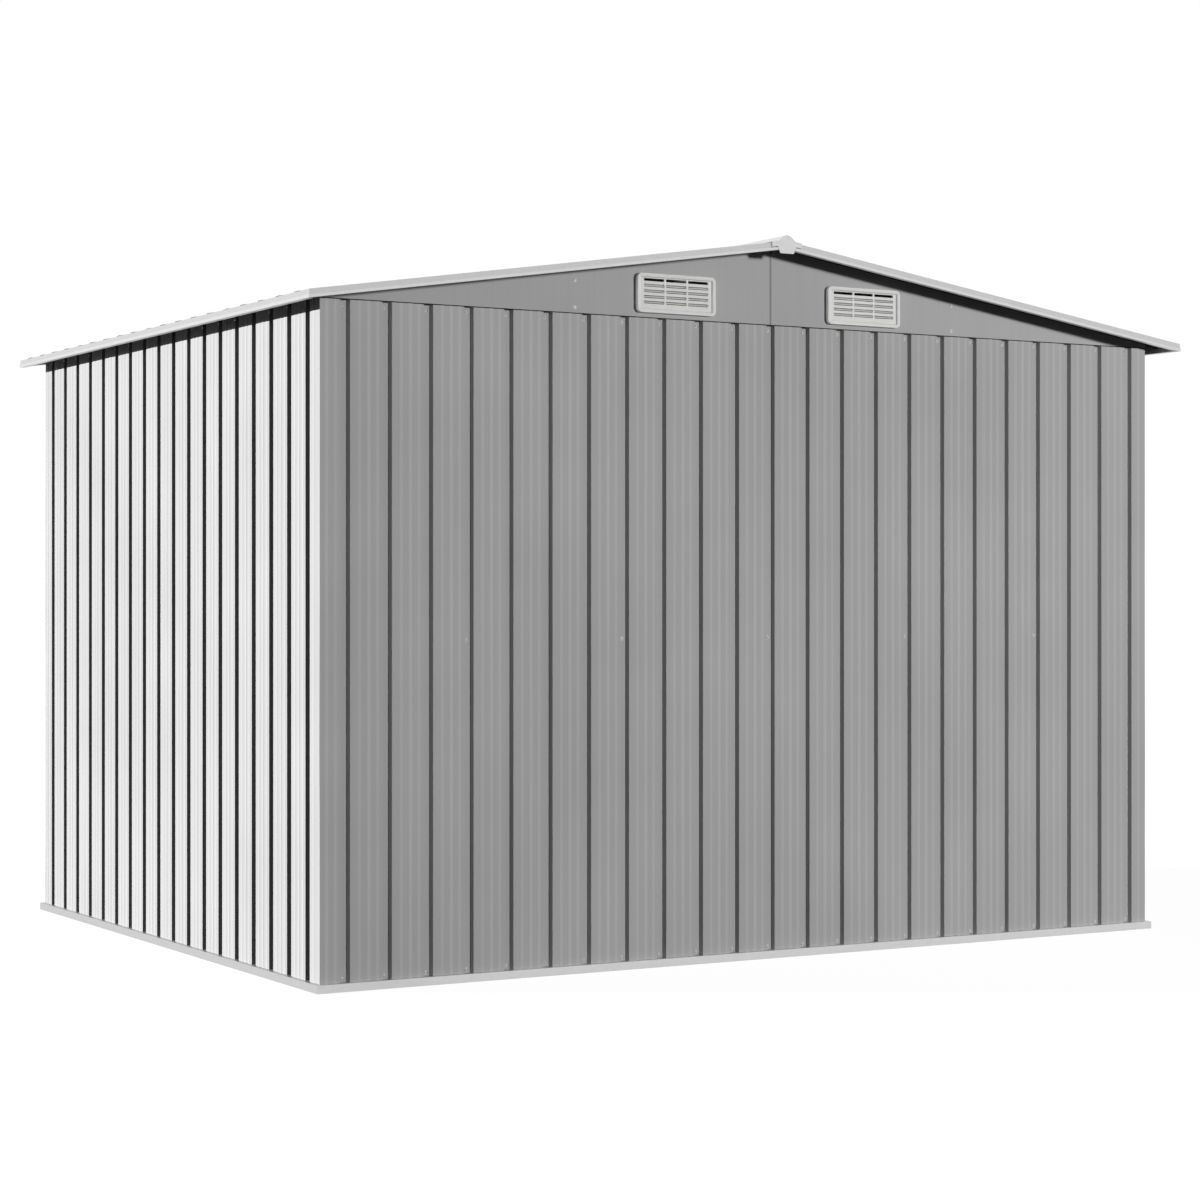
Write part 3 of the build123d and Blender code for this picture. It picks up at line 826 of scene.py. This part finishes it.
baseRail = {
    "thickness": 0.8, "ledge": 20, "skirt": 12, "foot": 34, "upstand": 42, "wallDepth": 15.8,
    "threshold": 40, "thresholdLip": 10, "foldRadius": 1.8, "stations": 25,
    "waveHeight": 0.25, "waveLength": 530, "waveDepth": 3,     # the skirt is wavy this far in
    # a share of painted shade for each rail: most on the sides, less at the front, least at the back
    "dust": {"back": 0.06, "right": 0.32, "left": 0.32, "front": 0.2}}


def addBaseRail(side):
    # A folded line carried along the foot of a wall. What lies further out runs further.
    b = baseRail
    inner, upstand = b["wallDepth"], b["upstand"]
    if side == "front":
        inner, upstand = b["threshold"], b["thresholdLip"]
    half = wallLength(side) / 2
    line = roundedLine(
        [(b["foot"], 0), (-b["skirt"], 0), (-b["skirt"], b["ledge"]), (inner, b["ledge"]),
         (inner, b["ledge"] + upstand)], b["foldRadius"])

    def place(inwards, height, step):
        run = half + step * (half - inwards)     # mitred at both corners
        wave = np.abs(softWave(b, run, step)) * (inwards < b["waveDepth"] - b["skirt"])
        return (*inPlan(side, run, inwards + wave), height)

    addFoldedSheet(
        f"base_rail_{side}_folded", line, np.linspace(-1, 1, b["stations"]), place, -b["thickness"],
        "trim_paint", [f"base_rail_{side}"], dust=np.full(len(line), b["dust"][side]))


for side in wallDirections:
    addBaseRail(side)
print("stage: base rails")

# Gable seals and joints

seal = {"thickness": 1.9, "shown": 2, "hidden": 6, "edge": 0.4, "edgeSteps": 3, "endGap": 1, "stations": 3}
mastic = {"width": 6, "proud": 0.5, "deep": 0.5, "endGap": 1, "steps": 9, "stations": 5}


def outerFace(node, side):  # y of the face that a node of the back or the front turns outwards
    low, high = boxOf(node)
    return high[1] if side == "back" else low[1]


def addSeal(side):
    # A flat strip between the wall sheets and the gable: an upright outline with eased corners,
    # carried along the wall. Its steps give it an even number of points.
    # The strip is a foam seal, and its near-black is also painted shade for the gap under the gable's lower
    # edge.
    s = seal
    low = boxOf(f"gable_{side}_left")[0][2]
    foot, head = low - s["shown"], low + s["hidden"]
    line = roundedLine(
        [(foot, 0), (foot, s["edge"] - s["thickness"]), (foot + s["edge"], -s["thickness"]),
         (head, -s["thickness"]), (head, 0)], s["edge"], s["edgeSteps"])
    run = np.linspace(s["endGap"], wallLength(side) - s["endGap"], s["stations"])[:, None]
    grid = pointsOf(*inPlan(side, run, line[:, 1]), line[:, 0])
    addPiece(
        f"gable_seal_{side}", grid, tube(s["stations"], len(line)), "handle_plastic", material=foamSealWithPaintedShade)


def addMastic(side):
    # A low parabola over the upright joint of a gable's two sheets: out = proud (1 - (x / half)^2),
    # carried up from the seam to the rake, with a fan over both ends.
    m = mastic
    node = f"gable_{side}_left"
    low, high = boxOf(node)
    half = m["width"] / 2
    across = np.linspace(-half, half, m["steps"])
    out = m["proud"] * (1 - (across / half) ** 2)
    section = np.vstack([np.stack([across, out], 1), [(half, -m["deep"]), (-half, -m["deep"])]])
    height = np.linspace(low[2] + m["endGap"], high[2] - m["endGap"], m["stations"])[:, None]
    grid = pointsOf(section[:, 0], outerFace(node, side) + outwardOf[side] * section[:, 1], height)
    count, hub = len(section), m["steps"]
    fan = np.stack([np.arange(hub - 1), np.arange(1, hub), np.full(hub - 1, hub)], 1)
    lid = np.vstack([fan, [(0, hub, hub + 1)]])
    faceSets = [ring(m["stations"], count), lid[:, ::-1], lid + (m["stations"] - 1) * count]
    addPiece(f"gable_mastic_{side}", grid, faceSets, "handle_plastic", material=jointMastic)


for side in outwardOf:
    addSeal(side)
    addMastic(side)
print("stage: gable seals")

# Gable vents

vent = {
    "width": 224, "tall": 96, "depth": 10, "corner": 12,
    "rimWidth": 9, "rimHeight": 4, "rimRadius": 4.5, "rimSteps": 5,
    "rimCrown": 0.45,       # share of its width up to which the rim is level
    "rimFall": 1, "rimLean": 1, "rimUnder": 1.5,     # then it falls, leans and goes under the field
    "columns": 3, "rows": 5, "slotWidth": 58, "slotTall": 6.5, "columnBar": 5, "rowBar": 7.2,
    "fieldRise": 5, "fieldBack": 1,
    "bladeChord": 8, "bladeThickness": 1.2, "bladeTiltDegrees": 28, "bladeCurve": 0.5, "bladeOut": 1.5,
    "bladePoints": 7,
    "bladeLonger": 1}       # than its slot


def roundedRectangle(width, tall, radius, steps=6):
    # Quarter circles about the four corner centres, joined by straight runs, anticlockwise.
    angle = np.linspace(0, math.pi / 2, steps + 1)
    quarter = np.arange(4)[:, None] * math.pi / 2
    signs = np.array([(1, 1), (-1, 1), (-1, -1), (1, -1)])
    centre = signs * (np.array([width, tall]) / 2 - radius)
    turn = quarter + angle
    direction = np.stack([np.cos(turn), np.sin(turn)], -1)
    return (centre[:, None] + radius * direction).reshape(-1, 2), direction.reshape(-1, 2)


def slottedPlate(levelsX, levelsZ, slots, back, front):
    # Cells of a rectangular grid between two depths. A cell that is a slot has no faces, and a side
    # face stands wherever a solid cell meets a slot or the edge of the plate.
    columns, rows = len(levelsX), len(levelsZ)
    gridX, gridZ = np.meshgrid(levelsX, levelsZ)
    flat = np.stack([gridX, gridZ], -1).reshape(-1, 2)
    points = np.vstack([np.c_[flat, np.full(len(flat), back)], np.c_[flat, np.full(len(flat), front)]])
    solid = np.zeros((rows + 1, columns + 1), bool)
    solid[1:-1, 1:-1] = ~slots
    number = np.arange(rows * columns).reshape(rows, columns)
    corner = [number[:-1, :-1], number[:-1, 1:], number[1:, 1:], number[1:, :-1]]
    inside = solid[1:-1, 1:-1]
    cells = np.stack([c[inside] for c in corner], -1)
    shift = rows * columns
    faces = [cells + shift, cells[:, ::-1]]
    for neighbour, first, second in (
            (solid[:-2, 1:-1], 0, 1), (solid[1:-1, 2:], 1, 2),
            (solid[2:, 1:-1], 2, 3), (solid[1:-1, :-2], 3, 0)):
        edge = inside & ~neighbour
        a, b = corner[first][edge], corner[second][edge]
        faces.append(np.stack([a, b, b + shift, a + shift], -1))
    return points, faces


def ventRim():  # a rounded profile carried round the vent: each point is path + out * normal
    v = vent
    path, normal = roundedRectangle(v["width"], v["tall"], v["corner"])
    inner, field = v["rimWidth"] + v["rimLean"], v["depth"] - v["rimHeight"]
    profile = roundedLine(
        [(0, 0), (0, v["depth"]), (-v["rimWidth"] * v["rimCrown"], v["depth"]),
         (-v["rimWidth"], v["depth"] - v["rimFall"]), (-inner, field - v["rimUnder"]), (-inner, 0)],
        v["rimRadius"], v["rimSteps"])
    out = profile[:, 0]
    rim = pointsOf(path[:, :1] + out * normal[:, :1], path[:, 1:] + out * normal[:, 1:], profile[:, 1])
    points = rim.reshape(-1, 3)
    return points, [ring(len(path) + 1, len(profile)) % len(points)]


def ventField(middlesX, middlesZ):  # the plate inside the rim, with its slots
    v = vent
    ends = np.array([-0.5, 0.5])
    edgeX, edgeZ = v["width"] / 2 - v["rimWidth"], v["tall"] / 2 - v["rimWidth"]
    levelsX = np.r_[-edgeX, (middlesX[:, None] + ends * v["slotWidth"]).ravel(), edgeX]
    levelsZ = np.r_[-edgeZ, (middlesZ[:, None] + ends * v["slotTall"]).ravel(), edgeZ]
    slots = np.outer(np.arange(len(levelsZ) - 1) % 2 == 1, np.arange(len(levelsX) - 1) % 2 == 1)
    return slottedPlate(levelsX, levelsZ, slots, v["fieldBack"], v["depth"] - v["rimHeight"])


def ventBlade():  # a parabola with its parallel, tilted and carried across a slot
    v = vent
    tilt = math.radians(v["bladeTiltDegrees"])
    s = np.linspace(-0.5, 0.5, v["bladePoints"])
    centre = np.stack([s * v["bladeChord"], v["bladeCurve"] * (1 - 4 * s ** 2)], 1)
    section = np.vstack([centre, parallelLine(centre, v["bladeThickness"])[::-1]])
    out = section[:, 0] * math.cos(tilt) + section[:, 1] * math.sin(tilt)
    up = -section[:, 0] * math.sin(tilt) + section[:, 1] * math.cos(tilt)
    across = np.array([-0.5, 0.5]) * (v["slotWidth"] + v["bladeLonger"])
    blade = pointsOf(across[:, None], up, out + v["bladeOut"])
    return blade.reshape(-1, 3), tube(2, len(section))


def ventShape():  # one vent as one mesh, its points as across, up and out of the gable
    v = vent
    pitchX, pitchZ = v["slotWidth"] + v["columnBar"], v["slotTall"] + v["rowBar"]
    middlesX = (np.arange(v["columns"]) - (v["columns"] - 1) / 2) * pitchX
    middlesZ = (np.arange(v["rows"]) - (v["rows"] - 1) / 2) * pitchZ + v["fieldRise"]
    blade, bladeFaces = ventBlade()
    parts = [ventRim(), ventField(middlesX, middlesZ)]
    for x in middlesX:
        for z in middlesZ[:-1]:     # the top row is open
            parts.append((blade + (x, z, 0), bladeFaces))
    return joined(parts)


ventPoints, ventFaces = ventShape()
for gable, outward in outwardOf.items():
    for sideName in ("left", "right"):
        node = f"vent_{gable}_{sideName}"
        low, high = boxOf(node)
        middle = (low + high) / 2
        back = outerFace(node, gable) - outward * vent["depth"]
        placed = pointsOf(
            middle[0] - outward * ventPoints[:, 0], back + outward * ventPoints[:, 2],
            middle[2] + ventPoints[:, 1])
        addPiece(node + "_grille", placed, ventFaces, "vent_plastic", [node], sharpDegrees=35)
print("stage: vents")

# Door handles

handle = {
    "tall": 130, "reach": 24, "width": 12, "thick": 7, "bend": 14, "bendSteps": 10, "sides": 20,
    "squareness": 0.6,      # power of the cosine and sine of the oval, 1 being an ellipse
    "padWidth": 20, "padTall": 26, "padThick": 2.5, "padCorner": 6, "padEdge": 0.8, "padSteps": 4}


def addHandle(node):
    # A squarish oval carried along a bowed line, across its direction, and a pad at each foot,
    # whose outline goes up, in over an edge and in to the middle.
    h = handle
    low, high = boxOf(node)
    middle = (low + high) / 2
    half, out = h["tall"] / 2 - h["thick"] / 2, h["reach"] - h["thick"] / 2
    line = roundedLine([(0, -half), (out, -half), (out, half), (0, half)], h["bend"], h["bendSteps"])
    step = unit(np.gradient(line, axis=0))
    angle = np.linspace(0, fullTurn, h["sides"], endpoint=False)
    circle = np.stack([np.cos(angle), np.sin(angle)])
    oval = np.abs(circle) ** h["squareness"] * np.sign(circle)
    deep = oval[1] * h["thick"] / 2
    grip = pointsOf(
        oval[0] * h["width"] / 2, np.maximum(line[:, :1] - step[:, 1:] * deep, 0),
        line[:, 1:] + step[:, :1] * deep)
    parts = [(grip.reshape(-1, 3), tube(len(line), h["sides"]))]
    outline, normal = roundedRectangle(h["padWidth"], h["padTall"], h["padCorner"], h["padSteps"])
    layers = np.array([
        (0, 0), (0, h["padThick"] - h["padEdge"]), (-h["padEdge"], h["padThick"]),
        (-h["padCorner"], h["padThick"])])
    for foot in (-half, half):
        pad = outline + layers[:, None, :1] * normal
        points = pointsOf(pad[..., 0], layers[:, 1:], pad[..., 1] + foot)
        parts.append((points.reshape(-1, 3), tube(len(layers), len(outline))))
    points, faceSets = joined(parts)
    placed = pointsOf(middle[0] + points[:, 0], high[1] - points[:, 1], middle[2] + points[:, 2])
    addPiece(node + "_grip", placed, faceSets, "handle_plastic", [node], sharpDegrees=50)


addHandle("door_handle_left")
addHandle("door_handle_right")
print("stage: handles")

# Screws

screw = {
    "segments": 10, "tall": 2.6, "tip": 0.4, "head": 3.4, "headFoot": 0.7, "washer": 5, "washerTall": 0.6,
    "dome": ((0.6, 0.94), (0.95, 0.6)),     # shares of the head's radius and of its height
    "aboveRail": 7, "underSeam": 13, "lapHeight": 800, "roofFromEave": 60,
    "beamHalf": 20, "aboveSeam": (13, 78)}


def addScrews(name, places, outwards):
    # A turned outline of radius and height, the same about each screw's own outward direction.
    s = screw
    dome = [(s["head"] * across, s["tall"] * up) for across, up in s["dome"]]
    outline = np.array([
        (s["tip"], s["tall"]), *dome, (s["head"], s["headFoot"]), (s["washer"], s["washerTall"]),
        (s["washer"], 0)])
    places, outwards = np.array(places, float), unit(np.array(outwards, float))
    helper = np.where(np.abs(outwards[:, 2:]) > 0.8, (1.0, 0, 0), (0, 0, 1.0))
    first = unit(np.cross(outwards, helper))
    second = np.cross(outwards, first)
    angle = np.linspace(0, fullTurn, s["segments"], endpoint=False)[:, None]
    spoke = np.cos(angle) * first[:, None] + np.sin(angle) * second[:, None]
    points = places[:, None, None] + outline[:, None, :1] * spoke[:, None] \
        + outline[:, None, 1:] * outwards[:, None, None]
    faces = np.vstack(tube(len(outline), s["segments"]))
    shift = np.arange(len(places)) * len(outline) * s["segments"]
    every = (faces + shift[:, None, None]).reshape(-1, 4)
    addPiece(name, points, [every], "galvanised_frame", material=screwZinc, sharpDegrees=50)


seam = boxOf("gable_back_left")[0][2]
for side in wallDirections:
    inward = np.array(wallDirections[side][1])
    places = []
    for groove, lapped in groovesOfWall[side]:
        depth = wallSheet["depth"] - (wallSheet["thickness"] if lapped else 0)
        heights = [baseRail["ledge"] + screw["aboveRail"], seam - screw["underSeam"]]
        heights += [screw["lapHeight"]] if lapped else []
        places += [(*inPlan(side, groove, depth), height) for height in heights]
    addScrews(f"wall_screws_{side}", places, [(*-inward, 0)] * len(places))

purlinX = boxOf("purlins")[1][0] - screw["beamHalf"]
for side, outward in outwardOf.items():
    node = f"gable_{side}_left"
    face, foot = outerFace(node, side), boxOf(node)[0][2]
    places = [(sign * purlinX, face, foot + above) for sign in (1, -1) for above in screw["aboveSeam"]]
    addScrews(f"gable_screws_{side}", places, [(0, outward, 0)] * len(places))

screwX = roofEave - screw["roofFromEave"]
places = [(sign * screwX, y, roofUnder(screwX) + ribTop) for sign in (1, -1) for y in roofRibs[::2]]
addScrews("roof_screws", places, [(np.sign(x) * roofSlope, 0, 1) for x, y, z in places])
print("stage: screws")

# Stage, light and camera

studio = {
    "floor": "#EDEDED", "floorHalf": 60, "floorGlow": 1.06, "glowShare": 0.9, "bounce": "#333333",
    "world": 0.015,
    "sunTowards": (0.866, -0.5), "sunHeightDegrees": 13, "sunStrength": 8.5, "sunAngleDegrees": 0.6}
squareLamps = {
    # The back wall has a lamp of its own, nearly square to it, and the fill lamp leaves it out.
    "fillLamp": {
        "place": (-5.2, 9.4, 2.6), "aim": (0, 0, 0.85), "size": 0.9, "power": 1010,
        "state": "EXCLUDE", "pieces": ("back_panel",)},
    "wallLamp": {
        "place": (-1.6, 13.0, 2.0), "aim": (-12, 0, 0.85), "size": 0.5, "power": 1890,
        "state": "INCLUDE", "pieces": ("back_panel",)},
    # Two weak ones shine along that wall, for its steep faces and for the vents' sides.
    "cornerLamp": {
        "place": (4.6, 3.6, 1.2), "aim": (0.5, 0.97, 0.9), "size": 0.6, "power": 20,
        "state": "INCLUDE", "pieces": ("back_panel", "vent_back")},
    "gableLamp": {
        "place": (5.0, 1.45, 1.2), "aim": (0, 1.0, 1.65), "size": 0.3, "power": 50,
        "state": "INCLUDE", "pieces": ("vent_back",)}}


def seenDirectly(tree):  # 1 for rays that show the background: camera, mirror and see-through rays
    rays = addNode(tree, "ShaderNodeLightPath").outputs
    both = addNode(
        tree, "ShaderNodeMath", {"operation": "MAXIMUM"},
        {0: rays["Is Camera Ray"], 1: rays["Is Glossy Ray"]}).outputs[0]
    return addNode(
        tree, "ShaderNodeMath", {"operation": "MAXIMUM"},
        {0: both, 1: rays["Is Transmission Ray"]}).outputs[0]


def addFloor():
    # Seen directly, the floor is a pale diffuse ground under a white glow, so that it keeps the
    # shadow faintly. To light that bounces from it, it is a dark grey ground.
    half = studio["floorHalf"]
    mesh = bpy.data.meshes.new("studio_floor")
    corners = [(-half, -half, 0), (half, -half, 0), (half, half, 0), (-half, half, 0)]
    mesh.from_pydata(corners, [], [(0, 1, 2, 3)])
    floor = newObject("studio_floor", mesh)
    material, tree = newMaterial("paleStudioFloor")
    dark = addNode(tree, "ShaderNodeBsdfDiffuse", {"Color": linearColour(studio["bounce"])}).outputs[0]
    pale = addNode(tree, "ShaderNodeBsdfDiffuse", {"Color": linearColour(studio["floor"])}).outputs[0]
    glow = addNode(tree, "ShaderNodeEmission", {"Strength": studio["floorGlow"]}).outputs[0]
    shown = addNode(tree, "ShaderNodeMixShader", {0: studio["glowShare"]}, {1: pale, 2: glow}).outputs[0]
    mixed = addNode(tree, "ShaderNodeMixShader", None, {0: seenDirectly(tree), 1: dark, 2: shown}).outputs[0]
    addNode(tree, "ShaderNodeOutputMaterial", None, {"Surface": mixed})
    mesh.materials.append(material)


def addWorld():
    world = bpy.data.worlds.new("whiteStudio")
    bpy.context.scene.world = world
    world.use_nodes = True
    tree = world.node_tree
    tree.nodes.clear()
    strength = addNode(
        tree, "ShaderNodeMapRange", {"To Min": studio["world"], "To Max": 1.0},
        {"Value": seenDirectly(tree)}).outputs[0]
    light = addNode(
        tree, "ShaderNodeBackground", {"Color": (1, 1, 1, 1)}, {"Strength": strength}).outputs[0]
    addNode(tree, "ShaderNodeOutputWorld", None, {"Surface": light})


def addLamp(name, kind, place, towards, settings):  # a lamp shines from its place towards a point
    lamp = bpy.data.lights.new(name, kind)
    for setting, value in settings.items():
        setattr(lamp, setting, value)
    holder = newObject(name, lamp)
    holder.location = place
    holder.rotation_euler = (Vector(towards) - Vector(place)).to_track_quat("-Z", "Y").to_euler()
    holder.visible_glossy = False
    holder.visible_camera = False
    return holder


def lightOnly(lamp, starts, state):  # INCLUDE lights the pieces so named alone, EXCLUDE all but them
    receivers = bpy.data.collections.new(lamp.name + "_receivers")
    for piece in bpy.data.objects:
        if piece.name.startswith(starts) and piece.name.endswith(("_sheet", "_grille")):
            receivers.objects.link(piece)
    for member in receivers.collection_objects:
        member.light_linking.link_state = state
    lamp.light_linking.receiver_collection = receivers


addFloor()
addWorld()
rise = math.radians(studio["sunHeightDegrees"])
sunX, sunY = np.array(studio["sunTowards"]) * math.cos(rise)
addLamp("sunLamp", "SUN", (sunX, sunY, math.sin(rise)), (0, 0, 0), {
    "energy": studio["sunStrength"], "angle": math.radians(studio["sunAngleDegrees"])})
for name, lamp in squareLamps.items():
    holder = addLamp(name, "AREA", lamp["place"], lamp["aim"], {
        "shape": "SQUARE", "size": lamp["size"], "energy": lamp["power"]})
    lightOnly(holder, lamp["pieces"], lamp["state"])

view = {
    "place": (3.7239, 6.5519, 0.8842), "forward": (-0.5003, -0.8659, 0.0014), "lens": 80.61, "sensor": 36}
camera = newObject("photo_camera", bpy.data.cameras.new("photo_camera"))
camera.location = view["place"]
camera.rotation_euler = Vector(view["forward"]).to_track_quat("-Z", "Y").to_euler()
camera.data.lens = view["lens"]
camera.data.sensor_width = view["sensor"]
camera.data.sensor_fit = "HORIZONTAL"
camera.data.clip_end = 200
bpy.context.scene.camera = camera
bpy.context.scene.view_settings.view_transform = "Standard"
print("stage: light and camera")
